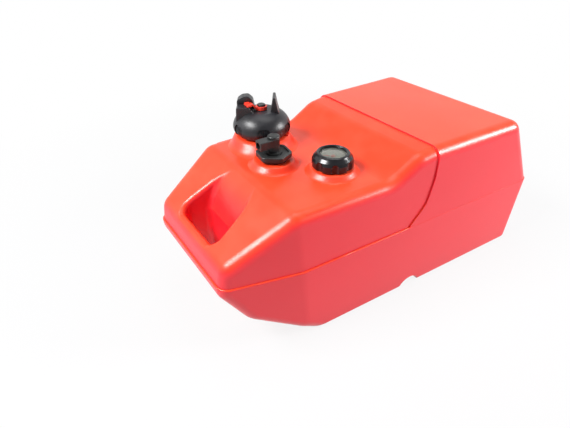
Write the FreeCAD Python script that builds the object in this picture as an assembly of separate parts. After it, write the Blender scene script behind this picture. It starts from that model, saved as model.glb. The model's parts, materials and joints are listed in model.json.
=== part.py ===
import FreeCAD
import Part
import math
import os
from FreeCAD import Vector as V

# Portable fuel tank for an outboard motor. Millimetres, +Z up, -X towards the carrying handle.
# The origin is on the floor, under the middle of the bounding box.

# ---------------------------------------------------------------- tank body
NOSE_X = -288.0
REAR_X = 288.0
PARTING_Z = 126.0
DECK_Z = 244.0
MID_DECK_Z = 214.5
FLOOR_FRONT_X = -160.0
FLOOR_REAR_X = 286.5
DECK_REAR_X = 218.0
DECK_FRONT_X = 36.0
SHOULDER_X = 8.0
SHOULDER_Z = 240.0
MID_DECK_REAR_X = -36.0
MID_DECK_FRONT_X = -190.0
NOSE_TOP_X = -284.0
NOSE_TOP_Z = 155.0
NOSE_LOW_X = -287.0
NOSE_LOW_Z = 112.0
CHIN_X = -250.0
CHIN_Z = 56.0

WALL = 3.5
LEDGE = 2.5
SEAM = 0.4
FLANK_FILLET = 18.0
FRONT_FLANK_FILLET = 19.0
BASE_FILLET = 5.5
INNER_BASE_FILLET = 8.0
LIP_ROUND = 1.8
CREASE_RADIUS = 40.0

# half widths at the rear knuckle and the place where each flank starts to taper, by height
HALF_FLOOR = 144.0
HALF_PARTING = 146.5
HALF_DECK = 145.1
CREASE_FLOOR_X = -168.0
CREASE_PARTING_X = -182.0
CREASE_DECK_X = -195.0
PLAN_TAPER = math.tan(math.radians(2.3))
NOSE_TAPER = 0.26

# boundary of the recessed front panel, seen from the side
LEDGE_FOOT_X = 3.0
LEDGE_KNEE_X = 31.0
LEDGE_KNEE_Z = 158.0
LEDGE_TOP_X = 39.0
LEDGE_TOP_Z = 198.0

# carrying handle: a scoop with a curved ramp that runs down into a hole through the nose
SCOOP_LEVELS = [(150.0, -229.0, 44.0), (172.0, -221.0, 42.0), (190.0, -212.0, 40.0), (203.0, -201.0, 37.5),
                (216.0, -182.0, 34.0)]
SCOOP_FRONT_HALF = 51.0
SCOOP_SPLAY = 0.08
GRIP_X = -267.0
SCOOP_CORNER = 10.0
SCOOP_LIP = 7.0
SCOOP_WALL = 6.0

# underside
STRAP_X = 30.0
STRAP_Z = -7.0
STRAP_RADIUS = 23.0
PAD_DEPTH = 1.5
PAD_HALF = 96.0
PAD_GAP = 14.0

# plain bar moulded on each shoulder beside the mid deck
RULE_X = -137.0
RULE_TILT = 38.0
RULE_LENGTH = 74.0
RULE_WIDTH = 1.8
RULE_PROUD = 0.8
RULE_SINK = 0.5

# a boss's outline from its top down to the deck: share of its spread, and height as a share of its rise
MOUND_PROFILE = [(1.12, -0.45), (1.0, -0.03), (0.82, 0.08), (0.62, 0.27), (0.45, 0.52), (0.29, 0.78),
                 (0.14, 0.95), (0.0, 1.0)]

# running fits and the gap left between pieces that move apart
RUNNING_GAP = 0.06
PART_GAP = 0.3
THREAD_GAP = 0.6
SEAL_THICK = 0.8
WIRE_SIDES = 12

# ---------------------------------------------------------------- filler neck and cap
FILL_X = -116.0
FILL_Y = 78.0
FILL_NECK_R = 30.5
FILL_BOSS_R = FILL_NECK_R + 9.0
FILL_BOSS_Z = MID_DECK_Z + 14.0
FILL_BOSS_SPREAD = 15.0
FILL_BOSS_SHIFT = (-4.0, -9.0)
FILL_CREST_R = FILL_NECK_R + 2.0
FILL_BORE_R = FILL_NECK_R - 4.0
FILL_NECK_TOP = MID_DECK_Z + 33.5
FILL_PITCH = 5.0
FILL_THREAD_Z = FILL_NECK_TOP - 11.0
TOOTH_DEG = (-52.0, -40.0, -28.0)
TOOTH_INNER_R = FILL_BOSS_R - 2.5
TOOTH_DEPTH = 5.0
TOOTH_WIDTH = 3.0
TOOTH_TOP_Z = MID_DECK_Z + 16.0

CAP_R = FILL_CREST_R + 10.9
CAP_BASE_Z = FILL_NECK_TOP - 17.0
CAP_DOME_Z = CAP_BASE_Z + 34.0
# the dome's curve from its rim up: how far inside the cap's radius, and how high above its base
CAP_PROFILE = [(3.6, 0.6), (1.5, 3.2), (0.0, 8.0), (0.4, 13.5), (3.1, 20.0), (7.8, 26.0),
               (14.4, 30.8), (22.4, 33.7)]
EAR_FOOT_Z = CAP_BASE_Z + 19.0
CAP_INNER_R = CAP_R - 6.4
CAP_CROWN_R = CAP_R - 19.4
CAP_CROWN_Z = CAP_BASE_Z + 30.5
GRIP_COUNT = 6
GRIP_WIDTH = 19.0
GRIP_DEPTH = 3.0
GRIP_BASE_Z = CAP_BASE_Z - 2.0
GRIP_TOP_Z = CAP_BASE_Z + 18.5
GRIP_GROOVES = 5
GRIP_GROOVE_STEP = 3.2
GRIP_FIRST_DEG = -117.0
EAR_DEG = -33.9
EAR_EDGE = 1.2
EAR_TOP_Z = CAP_BASE_Z + 54.0
THUMB_Z = CAP_BASE_Z + 42.0
THUMB_RIBS = 7
FIN_TOP_Z = CAP_BASE_Z + 55.0
LINER_R = CAP_INNER_R - 2.0
LINER_BASE_Z = FILL_NECK_TOP - 16.0
LINER_PLATE_Z = FILL_NECK_TOP + 2.3
LINER_TOP_Z = FILL_NECK_TOP + 5.2
CUP_R = 9.0
SEAT_Z = FILL_NECK_TOP - 2.5
SEAT_BORE_R = 3.5
POST_R = 4.6
POST_TOP_Z = CAP_DOME_Z + 5.2
LEVER_R = 8.6
LEVER_BASE_Z = CAP_DOME_Z + 0.6
LEVER_TOP_Z = CAP_DOME_Z + 5.4
LEVER_REST = 28.0
LEVER_REACH = 25.0
LEVER_ARM = 8.0
LEVER_PAD = 14.0
STEM_R = 2.1
POPPET_R = 7.5
POPPET_THICK = 1.8
VENT_COIL_R = 5.0
HEAD_R = 6.2

# ---------------------------------------------------------------- fuel gauge
GAUGE_X = -83.5
GAUGE_Y = -54.0
GAUGE_NECK_R = 22.2
GAUGE_BOSS_R = GAUGE_NECK_R + 7.8
GAUGE_BOSS_Z = MID_DECK_Z + 5.0
GAUGE_BOSS_SPREAD = 9.0
GAUGE_CREST_R = GAUGE_NECK_R + 1.6
GAUGE_BORE_R = GAUGE_NECK_R - 3.0
GAUGE_NECK_TOP = MID_DECK_Z + 18.0
GAUGE_PITCH = 4.0
GAUGE_THREAD_Z = GAUGE_NECK_TOP - 8.5
RING_R = GAUGE_CREST_R + 5.2
RING_BASE_Z = GAUGE_NECK_TOP - 11.7
RING_TOP_Z = GAUGE_NECK_TOP + 8.5
RING_LOBES = 8
RING_FIRST_DEG = -122.7
SCALLOP_R = 6.5
SCALLOP_DEPTH = 3.2
SCALLOP_TOP_Z = GAUGE_NECK_TOP - 2.5
WINDOW_R = GAUGE_CREST_R - 5.2
LENS_R = WINDOW_R + 3.0
LENS_RIM = 2.0
LENS_TOP_Z = GAUGE_NECK_TOP + 4.9
HOUSING_TOP_Z = GAUGE_NECK_TOP + 2.3
FLANGE_THICK = 1.5
CUP_FLOOR_Z = GAUGE_NECK_TOP - 10.5
DIAL_Z = GAUGE_NECK_TOP - 1.5
DIAL_TICKS = 9
POINTER_Z = GAUGE_NECK_TOP + 0.5
SPINDLE_R = 1.5
STRIP_WIDTH = 5.6
STRIP_THICK = 1.0
STRIP_TWIST = 270.0
STRIP_STEPS = 24
ROD_R = 1.25
ROD_REACH = 10.5
FLOAT_R = 14.5
FLOAT_LENGTH = 26.0
FLOAT_REST_Z = 20.0
FLOAT_TRAVEL = 165.0
DRIVER_R = 7.5
DRIVER_THICK = 1.5
DRIVER_Z = FLOAT_REST_Z + FLOAT_LENGTH + DRIVER_THICK / 2
FRAME_FOOT_Z = 12.0

# ---------------------------------------------------------------- fuel draw fitting
DRAW_X = -140.0
DRAW_Y = 7.0
DRAW_NECK_R = 15.6
DRAW_BOSS_R = DRAW_NECK_R + 11.4
DRAW_BOSS_Z = MID_DECK_Z + 6.0
DRAW_BOSS_SPREAD = 11.0
DRAW_CREST_R = DRAW_NECK_R + 1.4
DRAW_BORE_R = DRAW_NECK_R - 3.6
DRAW_NECK_TOP = MID_DECK_Z + 11.5
DRAW_PITCH = 3.0
DRAW_THREAD_Z = DRAW_NECK_TOP - 3.6
NUT_R = DRAW_CREST_R + 8.6
NUT_FIRST_DEG = 22.0
NUT_BASE_Z = DRAW_NECK_TOP - 4.8
NUT_FLANGE_Z = DRAW_NECK_TOP - 1.4
NUT_TOP_Z = DRAW_NECK_TOP + 6.0
NUT_SKIRT_R = DRAW_CREST_R + 3.0
NUT_HOLE_R = DRAW_BORE_R
HEAD_TOP_Z = DRAW_NECK_TOP + 3.2
POST_BORE_R = 3.0
SWIVEL_R = 6.0
SWIVEL_TOP_Z = DRAW_NECK_TOP + 14.0
SEAL_RING_Z = DRAW_NECK_TOP + 8.6
STEM_HUB_R = SWIVEL_R + 2.2
ELBOW_FOOT_Z = DRAW_NECK_TOP + 3.8
ELBOW_REACH = 25.0
ELBOW_HALF = 7.5
ELBOW_BASE_Z = SWIVEL_TOP_Z + 0.2
ELBOW_TOP_Z = SWIVEL_TOP_Z + 12.5
PORT_R = 4.8
PORT_DEPTH = 12.0
PORT_Z = SWIVEL_TOP_Z + 6.3
CHAMBER_R = 4.3
BALL_R = CHAMBER_R - 0.7
BALL_Z = SWIVEL_TOP_Z + math.sqrt(BALL_R ** 2 - POST_BORE_R ** 2) + PART_GAP
CHECK_COIL_R = BALL_R - 1.0
BONNET_R = CHAMBER_R + 4.5
BONNET_NECK_R = BONNET_R - 2.9
BONNET_SINK = 2.2
BONNET_TOP_Z = ELBOW_TOP_Z + 4.3
TUBE_R = 4.6
TUBE_BORE_R = TUBE_R - 1.3
TUBE_END_Z = 20.0
FILTER_R = TUBE_R + 2.9
FILTER_BASE_Z = 11.0
FILTER_TOP_Z = 40.0


def shift_outline(points, inset):
    """Move every side of a closed anticlockwise outline inwards by inset."""
    moved = []
    for i, corner in enumerate(points):
        before = V(*points[i - 1], 0)
        here = V(*corner, 0)
        after = V(*points[(i + 1) % len(points)], 0)
        a = (here - before).normalize()
        b = (after - here).normalize()
        na = V(-a.y, a.x, 0)
        nb = V(-b.y, b.x, 0)
        q = here + (na + nb) * (inset / (1.0 + na.dot(nb)))
        moved.append((q.x, q.y))
    return moved


def rounded_wire(points, radii, place):
    """Closed wire through 2-D points, with an arc at each corner that has a radius."""
    corners = []
    for i, corner in enumerate(points):
        here = V(*corner, 0)
        a = (V(*points[i - 1], 0) - here).normalize()
        b = (V(*points[(i + 1) % len(points)], 0) - here).normalize()
        r = radii[i]
        if r <= 0:
            corners.append((here, None, here))
            continue
        half = math.acos(max(-1.0, min(1.0, a.dot(b)))) / 2
        run = r / math.tan(half)
        middle = here + (a + b).normalize() * (r / math.sin(half) - r)
        corners.append((here + a * run, middle, here + b * run))
    edges = []
    for i, (start, middle, end) in enumerate(corners):
        if middle is not None:
            edges.append(Part.Arc(place(start), place(middle), place(end)).toShape())
        edges.append(Part.makeLine(place(end), place(corners[(i + 1) % len(corners)][0])))
    return Part.Wire(edges)


def flat(z):
    return lambda p: V(p.x, p.y, z)


def upright(y):
    return lambda p: V(p.x, y, p.y)


def prism(points, radii, z0, z1):
    wire = rounded_wire(points, radii, flat(z0))
    return Part.Face(wire).extrude(V(0, 0, z1 - z0))


def slab(points, radii, y0, y1):
    """Outline in the X-Z plane, drawn out along Y."""
    wire = rounded_wire(points, radii, upright(y0))
    return Part.Face(wire).extrude(V(0, y1 - y0, 0))


def cylinder(x, y, z0, z1, r):
    return Part.makeCylinder(r, z1 - z0, V(x, y, z0))


def tube(x, y, z0, z1, outer, inner):
    return cylinder(x, y, z0, z1, outer).cut(cylinder(x, y, z0 - 1, z1 + 1, inner))


def turned(x, y, profile):
    """Solid of revolution about a vertical axis from (radius, z) points."""
    wire = Part.makePolygon([V(r, 0, z) for r, z in profile + profile[:1]])
    solid = Part.Face(wire).revolve(V(0, 0, 0), V(0, 0, 1), 360)
    solid.translate(V(x, y, 0))
    return solid


def turned_smooth(x, y, profile, curve):
    """As turned, with a smooth curve through the points of curve closing the profile."""
    spline = Part.BSplineCurve()
    spline.interpolate([V(r, 0, z) for r, z in curve])
    edges = [spline.toShape()]
    run = [curve[-1]] + profile + [curve[0]]
    for a, b in zip(run, run[1:]):
        edges.append(Part.makeLine(V(a[0], 0, a[1]), V(b[0], 0, b[1])))
    solid = Part.Face(Part.Wire(edges)).revolve(V(0, 0, 0), V(0, 0, 1), 360)
    solid.translate(V(x, y, 0))
    return solid


def spun(shape, x, y, degrees):
    copy = shape.copy()
    copy.rotate(V(x, y, 0), V(0, 0, 1), degrees)
    return copy


def helix_sweep(x, y, z0, radius, pitch, turns, section):
    """Sweep a section, given as (radius, z offset) points, along a right-hand helix."""
    path = Part.makeHelix(pitch, pitch * turns, radius)
    outline = Part.makePolygon([V(r, 0, z) for r, z in section + section[:1]])
    solid = Part.Wire(path.Edges).makePipeShell([outline], True, True)
    solid.translate(V(x, y, z0))
    return solid


def outer_thread(x, y, z0, root, crest, pitch, turns):
    wide = pitch * 0.24
    narrow = pitch * 0.12
    section = [(root - 0.4, -wide), (crest, -narrow), (crest, narrow), (root - 0.4, wide)]
    return helix_sweep(x, y, z0, root, pitch, turns, section)


def inner_thread(x, y, z0, root, crest, pitch, turns):
    wide = pitch * 0.24
    narrow = pitch * 0.12
    section = [(crest, -narrow), (root + 0.4, -wide), (root + 0.4, wide), (crest, narrow)]
    return helix_sweep(x, y, z0, root, pitch, turns, section)


def coil(x, y, z0, z1, radius, wire_r, turns):
    """Compression spring with its wire's outside between z0 and z1."""
    pitch = (z1 - z0 - 2 * wire_r) / turns
    angles = [2 * math.pi * (i + 0.5) / WIRE_SIDES for i in range(WIRE_SIDES)]
    section = [(radius + wire_r * math.cos(a), wire_r * math.sin(a)) for a in angles]
    return helix_sweep(x, y, z0 + wire_r, radius, pitch, turns, section)


# ---------------------------------------------------------------- tank shell
SIDE_OUTLINE = [
    (FLOOR_FRONT_X, 0.0, 0.0),
    (FLOOR_REAR_X, 0.0, 0.0),
    (REAR_X, PARTING_Z, 0.0),
    (DECK_REAR_X, DECK_Z, 22.0),
    (DECK_FRONT_X, DECK_Z, 40.0),
    (SHOULDER_X, SHOULDER_Z, 40.0),
    (MID_DECK_REAR_X, MID_DECK_Z, -45.0),
    (MID_DECK_FRONT_X, MID_DECK_Z, 26.0),
    (NOSE_TOP_X, NOSE_TOP_Z, 24.0),
    (NOSE_X, PARTING_Z, 0.0),
    (NOSE_LOW_X, NOSE_LOW_Z, 24.0),
    (CHIN_X, CHIN_Z, 40.0),
]


def half_side(inset, upper):
    """The part of the side outline above or below the parting line, with its corner radii."""
    moved = shift_outline([(x, z) for x, z, r in SIDE_OUTLINE], inset)
    points = []
    radii = []
    for (x, z), (old_x, level, radius) in zip(moved, SIDE_OUTLINE):
        if level == PARTING_Z:
            points.append((x, PARTING_Z))
            radii.append(0.0)
        elif (level > PARTING_Z) == upper:
            points.append((x, z))
            bend = radius - inset if radius > 0 else inset - radius
            radii.append(bend if radius else 0.0)
    return points, radii


def plan_wire(half, crease_x, inset, z):
    rear = half + 15 * PLAN_TAPER
    crease = half - (REAR_X - crease_x) * PLAN_TAPER
    nose = crease - (crease_x + 320) * NOSE_TAPER
    points = [(-320, -nose), (crease_x, -crease), (300, -rear), (300, rear), (crease_x, crease),
              (-320, nose)]
    moved = shift_outline(points, inset)
    ends = {0: -320, 2: 300, 3: 300, 5: -320}
    moved = [(ends.get(i, x), y) for i, (x, y) in enumerate(moved)]
    return rounded_wire(moved, [0, CREASE_RADIUS, 0, 0, CREASE_RADIUS, 0], flat(z))


def body_half(inset, upper, fillet=FLANK_FILLET):
    """Upper or lower half of the body, with its flanks rounded into the other faces."""
    points, radii = half_side(inset, upper)
    profile = slab(points, radii, -200, 200)
    if upper:
        levels = [(HALF_PARTING, CREASE_PARTING_X, PARTING_Z), (HALF_DECK, CREASE_DECK_X, DECK_Z + 18)]
    else:
        levels = [(HALF_FLOOR, CREASE_FLOOR_X, 0.0), (HALF_PARTING, CREASE_PARTING_X, PARTING_Z)]
    plan = Part.makeLoft([plan_wire(h, x, inset, z) for h, x, z in levels], True, True)
    solid = profile.common(plan)
    low = min(z for x, z in points)
    edges = [e for e in solid.Edges if is_flank_edge(solid, e, (PARTING_Z, low))]
    solid = solid.makeFillet(fillet - inset, edges)
    if not upper:
        rim = [e for e in solid.Edges if all(abs(v.Point.z - low) < 1e-3 for v in e.Vertexes)]
        solid = solid.makeFillet(INNER_BASE_FILLET if inset else BASE_FILLET, rim)
    return solid


def is_flank_edge(solid, edge, flat_levels):
    """True where a flank meets the top, the underside, the nose or the rear."""
    heights = [v.Point.z for v in edge.Vertexes]
    if any(all(abs(z - level) < 1e-3 for z in heights) for level in flat_levels):
        return False
    middle = edge.valueAt((edge.FirstParameter + edge.LastParameter) / 2)
    slopes = []
    for face in solid.Faces:
        if any(edge.isSame(other) for other in face.Edges):
            u, v = face.Surface.parameter(middle)
            slopes.append(abs(face.normalAt(u, v).y))
    return len(slopes) == 2 and max(slopes) > 0.5 > min(slopes)


def front_zone(growth):
    """Everything above the parting line and ahead of the ledge."""
    outline = [
        (-400, PARTING_Z - 20),
        (LEDGE_FOOT_X + growth, PARTING_Z - 20),
        (LEDGE_FOOT_X + growth, PARTING_Z),
        (LEDGE_KNEE_X + growth, LEDGE_KNEE_Z),
        (LEDGE_TOP_X + growth, LEDGE_TOP_Z),
        (LEDGE_TOP_X + growth, 300),
        (-400, 300),
    ]
    return slab(outline, [0, 0, 18, 40, 40, 0, 0], -200, 200)


def scoop_outline(rear_x, rear_half, z, growth):
    front_half = SCOOP_FRONT_HALF + (z - SCOOP_LEVELS[0][0]) * SCOOP_SPLAY
    points = [(rear_x, rear_half), (GRIP_X, front_half), (GRIP_X, -front_half), (rear_x, -rear_half)]
    return shift_outline(points, -growth)


def scoop_tool(growth):
    """The scoop with its curved ramp, and the hole that goes on down from it."""
    wires = []
    for z, rear_x, rear_half in SCOOP_LEVELS:
        points = scoop_outline(rear_x, rear_half, z, growth)
        wires.append(rounded_wire(points, [SCOOP_CORNER + growth] * 4, flat(z)))
    ramp = Part.makeLoft(wires, True, False)
    low_z, rear_x, rear_half = SCOOP_LEVELS[0]
    points = scoop_outline(rear_x, rear_half, low_z, growth)
    return ramp.fuse(prism(points, [SCOOP_CORNER + growth] * 4, -10, low_z))


def strap_tool(growth):
    tool = Part.makeCylinder(STRAP_RADIUS + growth, 400, V(STRAP_X, -200, STRAP_Z), V(0, 1, 0))
    return tool


def pad_tools(growth):
    """Shallow panels in the underside, each side of the strap channel."""
    reach = STRAP_RADIUS + PAD_GAP
    spans = [(FLOOR_FRONT_X + PAD_GAP + 12, STRAP_X - reach), (STRAP_X + reach, FLOOR_REAR_X - 2 * PAD_GAP)]
    tools = []
    for x0, x1 in spans:
        points = [(x0, -PAD_HALF), (x1, -PAD_HALF), (x1, PAD_HALF), (x0, PAD_HALF)]
        moved = shift_outline(points, -growth)
        tools.append(prism(moved, [12.0 + growth] * 4, -10, PAD_DEPTH + growth))
    return tools


def edges_near(solid, test):
    picked = []
    for edge in solid.Edges:
        middle = edge.valueAt((edge.FirstParameter + edge.LastParameter) / 2)
        if test(edge, middle):
            picked.append(edge)
    return picked


def mound(x, y, radius, z, spread, shift):
    """Soft boss: a round top that flows down into the deck, its foot wider by spread and moved by shift."""
    foot_z = MID_DECK_Z - LEDGE
    rise = z - foot_z
    wires = []
    for share, height in MOUND_PROFILE:
        level = foot_z + rise * height
        centre = V(x + shift[0] * share, y + shift[1] * share, level)
        wires.append(Part.Wire(Part.makeCircle(radius + spread * share, centre)))
    return Part.makeLoft(wires, True, False)


def neck(x, y, boss, root, bore, top, thread):
    """A soft boss with a threaded neck on it, bored through."""
    solid = mound(x, y, *boss).fuse(cylinder(x, y, MID_DECK_Z - 12, top, root))
    return solid.fuse(thread).cut(cylinder(x, y, 0, top + 5, bore))


def is_scoop_lip(edge, middle):
    """Edges where the scoop's walls break through the front slope or the mid deck."""
    if abs(middle.y) > SCOOP_FRONT_HALF + 8 or edge.Length > 2 * SCOOP_FRONT_HALF:
        return False
    if not GRIP_X - 1 < middle.x < SCOOP_LEVELS[-1][1]:
        return False
    top = MID_DECK_Z - LEDGE
    slope = (MID_DECK_Z - NOSE_TOP_Z) / (MID_DECK_FRONT_X - NOSE_TOP_X)
    surface = min(top, top + (middle.x - MID_DECK_FRONT_X) * slope)
    return abs(middle.z - surface) < 5.0


def raised_rule(side):
    """A plain moulded bar on the rounding between the mid deck and one flank."""
    bend = FRONT_FLANK_FILLET - LEDGE
    half = HALF_DECK - (REAR_X - RULE_X) * PLAN_TAPER - LEDGE + RULE_SINK
    reach = bend + RULE_PROUD
    bar = Part.makeBox(RULE_LENGTH, RULE_WIDTH, RULE_PROUD * 3, V(-RULE_LENGTH / 2, -RULE_WIDTH / 2,
                                                                 reach - RULE_PROUD * 3))
    bar.rotate(V(0, 0, 0), V(1, 0, 0), -side * RULE_TILT)
    bar.rotate(V(0, 0, 0), V(0, 0, 1), side * math.degrees(math.atan(PLAN_TAPER)))
    bar.translate(V(RULE_X, side * (half - bend), MID_DECK_Z - LEDGE - bend))
    return bar


def ratchet_tooth(degrees):
    """Moulded stop on the filler's boss, under the cap's rim."""
    tooth = Part.makeBox(TOOTH_DEPTH, TOOTH_WIDTH, TOOTH_TOP_Z - MID_DECK_Z,
                         V(FILL_X + TOOTH_INNER_R, FILL_Y - TOOTH_WIDTH / 2, MID_DECK_Z))
    return spun(tooth, FILL_X, FILL_Y, degrees)


def fittings():
    """Position, boss, neck sizes and neck thread of each opening in the mid deck."""
    fill_thread = outer_thread(FILL_X, FILL_Y, FILL_THREAD_Z, FILL_NECK_R, FILL_CREST_R, FILL_PITCH, 1.5)
    gauge_thread = outer_thread(GAUGE_X, GAUGE_Y, GAUGE_THREAD_Z, GAUGE_NECK_R, GAUGE_CREST_R, GAUGE_PITCH,
                                1.5)
    draw_thread = outer_thread(DRAW_X, DRAW_Y, DRAW_THREAD_Z, DRAW_NECK_R, DRAW_CREST_R, DRAW_PITCH, 0.9)
    fill_boss = (FILL_BOSS_R, FILL_BOSS_Z, FILL_BOSS_SPREAD, FILL_BOSS_SHIFT)
    gauge_boss = (GAUGE_BOSS_R, GAUGE_BOSS_Z, GAUGE_BOSS_SPREAD, (0.0, 0.0))
    draw_boss = (DRAW_BOSS_R, DRAW_BOSS_Z, DRAW_BOSS_SPREAD, (0.0, 0.0))
    return [
        (FILL_X, FILL_Y, fill_boss, FILL_NECK_R, FILL_BORE_R, FILL_NECK_TOP, fill_thread),
        (GAUGE_X, GAUGE_Y, gauge_boss, GAUGE_NECK_R, GAUGE_BORE_R, GAUGE_NECK_TOP, gauge_thread),
        (DRAW_X, DRAW_Y, draw_boss, DRAW_NECK_R, DRAW_BORE_R, DRAW_NECK_TOP, draw_thread),
    ]


def round_lip(lower):
    """Round the lower half's rim where it stands proud of the front panel."""
    ahead = Part.makeBox(LEDGE_FOOT_X + 400, 400, 300, V(-400, -200, -50))
    front = lower.common(ahead)
    rim = edges_near(front, lambda e, m: abs(m.z - PARTING_Z) < 1e-3 and m.x < LEDGE_FOOT_X - 1)
    return lower.cut(ahead).fuse(front.makeFillet(LIP_ROUND, rim))


def lower_half(inset):
    """Below the parting line, with the hand hole, the strap channel and the underside's panels."""
    lower = body_half(inset, False)
    if not inset:
        lower = round_lip(lower)
    for tool in [scoop_tool(SCOOP_WALL if inset else 0.0), strap_tool(inset)] + pad_tools(inset):
        lower = lower.cut(tool)
    return lower


def grip_bar():
    """The bar ahead of the hand hole, moulded solid above the parting line."""
    half = SCOOP_FRONT_HALF + SCOOP_WALL
    return Part.makeBox(400 + GRIP_X, 2 * half, 200, V(-400, -half, PARTING_Z))


def upper_half(inset):
    """Above the parting line: rear panel and front panel, with the hand scoop."""
    zone = front_zone(inset)
    rear = body_half(inset + SEAM, True).cut(zone)
    front = body_half(inset + LEDGE, True, FRONT_FLANK_FILLET).common(zone)
    if inset:
        return rear.fuse(front.cut(scoop_tool(SCOOP_WALL)).cut(grip_bar()))
    front = front.cut(scoop_tool(0.0))
    upper = rear.fuse(front.makeFillet(SCOOP_LIP, edges_near(front, is_scoop_lip)))
    for side in (-1, 1):
        upper = upper.fuse(raised_rule(side))
    return upper


def tank_shell():
    cavity = upper_half(WALL)
    shell = lower_half(0.0).cut(lower_half(WALL)).fuse(upper_half(0.0).cut(cavity))
    for x, y, boss, root, bore, top, thread in fittings():
        radius, z, spread, shift = boss
        hollow = cylinder(x, y, MID_DECK_Z - 30, z - WALL, radius - WALL)
        shell = shell.cut(hollow).fuse(neck(x, y, boss, root, bore, top, thread).cut(cavity).cut(hollow))
    for degrees in TOOTH_DEG:
        shell = shell.fuse(ratchet_tooth(degrees))
    return shell


# ---------------------------------------------------------------- filler cap
def cap_dome(inset):
    """The cap's outside as a plain dome, shrunk towards the middle of its base by inset."""
    rk = 1 - inset / CAP_R
    zk = 1 - inset / (CAP_DOME_Z - CAP_BASE_Z)
    curve = [((CAP_R - short) * rk, CAP_BASE_Z + height * zk) for short, height in CAP_PROFILE]
    top = CAP_DOME_Z - inset
    base = [(0, top), (0, CAP_BASE_Z), (curve[0][0] - 1.0, CAP_BASE_Z)]
    return turned_smooth(FILL_X, FILL_Y, base, curve)


def grip_pocket(degrees):
    """Recess in the dome with upright ribs left standing in it."""
    half = GRIP_WIDTH / 2
    outline = [(-half, GRIP_BASE_Z), (half, GRIP_BASE_Z), (half, GRIP_TOP_Z), (-half, GRIP_TOP_Z)]
    pocket = slab(outline, [1.5, 1.5, 7.0, 7.0], 25, 60)
    grooves = []
    for i in range(GRIP_GROOVES):
        x = (i - (GRIP_GROOVES - 1) / 2) * GRIP_GROOVE_STEP
        grooves.append(Part.makeBox(GRIP_GROOVE_STEP / 2, 35, GRIP_TOP_Z - GRIP_BASE_Z - 9,
                                    V(x - GRIP_GROOVE_STEP / 4, 25, GRIP_BASE_Z + 7)))
    turn = degrees - 90
    for tool in [pocket] + grooves:
        tool.rotate(V(0, 0, 0), V(0, 0, 1), turn)
        tool.translate(V(FILL_X, FILL_Y, 0))
    shallow = pocket.cut(cap_dome(GRIP_DEPTH / 2))
    deep = grooves[0].multiFuse(grooves[1:]).cut(cap_dome(GRIP_DEPTH))
    return shallow.fuse(deep)


def ear(outline, radii, y0, y1):
    """Upright feature of the cap, given across and along the line of its two ears."""
    solid = slab(outline, radii, y0, y1)
    ends = [e for e in solid.Edges if abs(e.Vertexes[0].Point.y - e.Vertexes[-1].Point.y) < 1e-6]
    solid = solid.makeFillet(EAR_EDGE, ends)
    solid.rotate(V(0, 0, 0), V(0, 0, 1), EAR_DEG)
    solid.translate(V(FILL_X, FILL_Y, 0))
    return solid


def cap_shell():
    solid = cap_dome(0.0)
    for i in range(GRIP_COUNT):
        solid = solid.cut(grip_pocket(GRIP_FIRST_DEG + i * 360 / GRIP_COUNT))
    foot = EAR_FOOT_Z
    top = EAR_TOP_Z
    edge = CAP_R - 7.4
    thumb = [(-edge - 1, foot), (0, foot), (-1, foot + 9), (-11, foot + 15), (-17, THUMB_Z),
             (-edge, THUMB_Z)]
    arch = [(-edge, foot), (-11, foot), (-10.5, foot + 18), (-12.5, top - 6), (-19, top),
            (8 - edge, top - 1), (-edge, top - 6)]
    waist = FIN_TOP_Z - 16
    fin = [(12, foot + 8), (28, foot + 8), (24.4, waist), (21.2, FIN_TOP_Z), (17.4, FIN_TOP_Z),
           (15.4, waist)]
    solid = solid.fuse(ear(thumb, [0, 0, 3.0, 4.0, 2.5, 2.5], -17, -1))
    solid = solid.fuse(ear(arch, [0, 0, 5.0, 6.0, 7.0, 7.0, 7.0], -1.5, 14))
    solid = solid.fuse(ear(fin, [0, 0, 8.0, 1.8, 1.8, 8.0], -12, 14))
    solid = solid.cut(cylinder(FILL_X, FILL_Y, CAP_DOME_Z, top, LEVER_R + 1.0))
    for i in range(THUMB_RIBS):
        rib = Part.makeBox(1.0, 1.6, 12.0, V(3 - edge + i * 3.0, -17.6, foot + 8))
        rib.rotate(V(0, 0, 0), V(0, 0, 1), EAR_DEG)
        rib.translate(V(FILL_X, FILL_Y, 0))
        solid = solid.fuse(rib)
    hollow = [(0, CAP_BASE_Z - 1), (CAP_INNER_R, CAP_BASE_Z - 1), (CAP_INNER_R, CAP_BASE_Z + 7),
              (CAP_INNER_R - 0.6, CAP_BASE_Z + 16), (LINER_R + PART_GAP, CAP_BASE_Z + 19),
              (LINER_R + PART_GAP, LINER_TOP_Z), (CAP_CROWN_R, LINER_TOP_Z),
              (CAP_CROWN_R - 2, CAP_CROWN_Z), (0, CAP_CROWN_Z)]
    solid = solid.cut(turned(FILL_X, FILL_Y, hollow))
    solid = solid.fuse(cylinder(FILL_X, FILL_Y, CAP_CROWN_Z, POST_TOP_Z, POST_R))
    return solid.cut(cylinder(FILL_X, FILL_Y, CAP_CROWN_Z - 2, POST_TOP_Z + 2, STEM_R + 0.3))


def cap_liner():
    root = FILL_CREST_R + THREAD_GAP
    profile = [(root, LINER_BASE_Z), (LINER_R, LINER_BASE_Z), (LINER_R, LINER_TOP_Z - 1.7),
               (LINER_R - 1.7, LINER_TOP_Z), (CUP_R, LINER_TOP_Z), (CUP_R, SEAT_Z), (SEAT_BORE_R, SEAT_Z),
               (SEAT_BORE_R, SEAT_Z - 2.5), (CUP_R + 2, SEAT_Z - 2.5), (CUP_R + 2, LINER_PLATE_Z),
               (root, LINER_PLATE_Z)]
    solid = turned(FILL_X, FILL_Y, profile)
    thread = inner_thread(FILL_X, FILL_Y, FILL_THREAD_Z + FILL_PITCH / 2, root,
                          FILL_NECK_R + THREAD_GAP + 0.2, FILL_PITCH, 1.25)
    return solid.fuse(thread)


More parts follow.
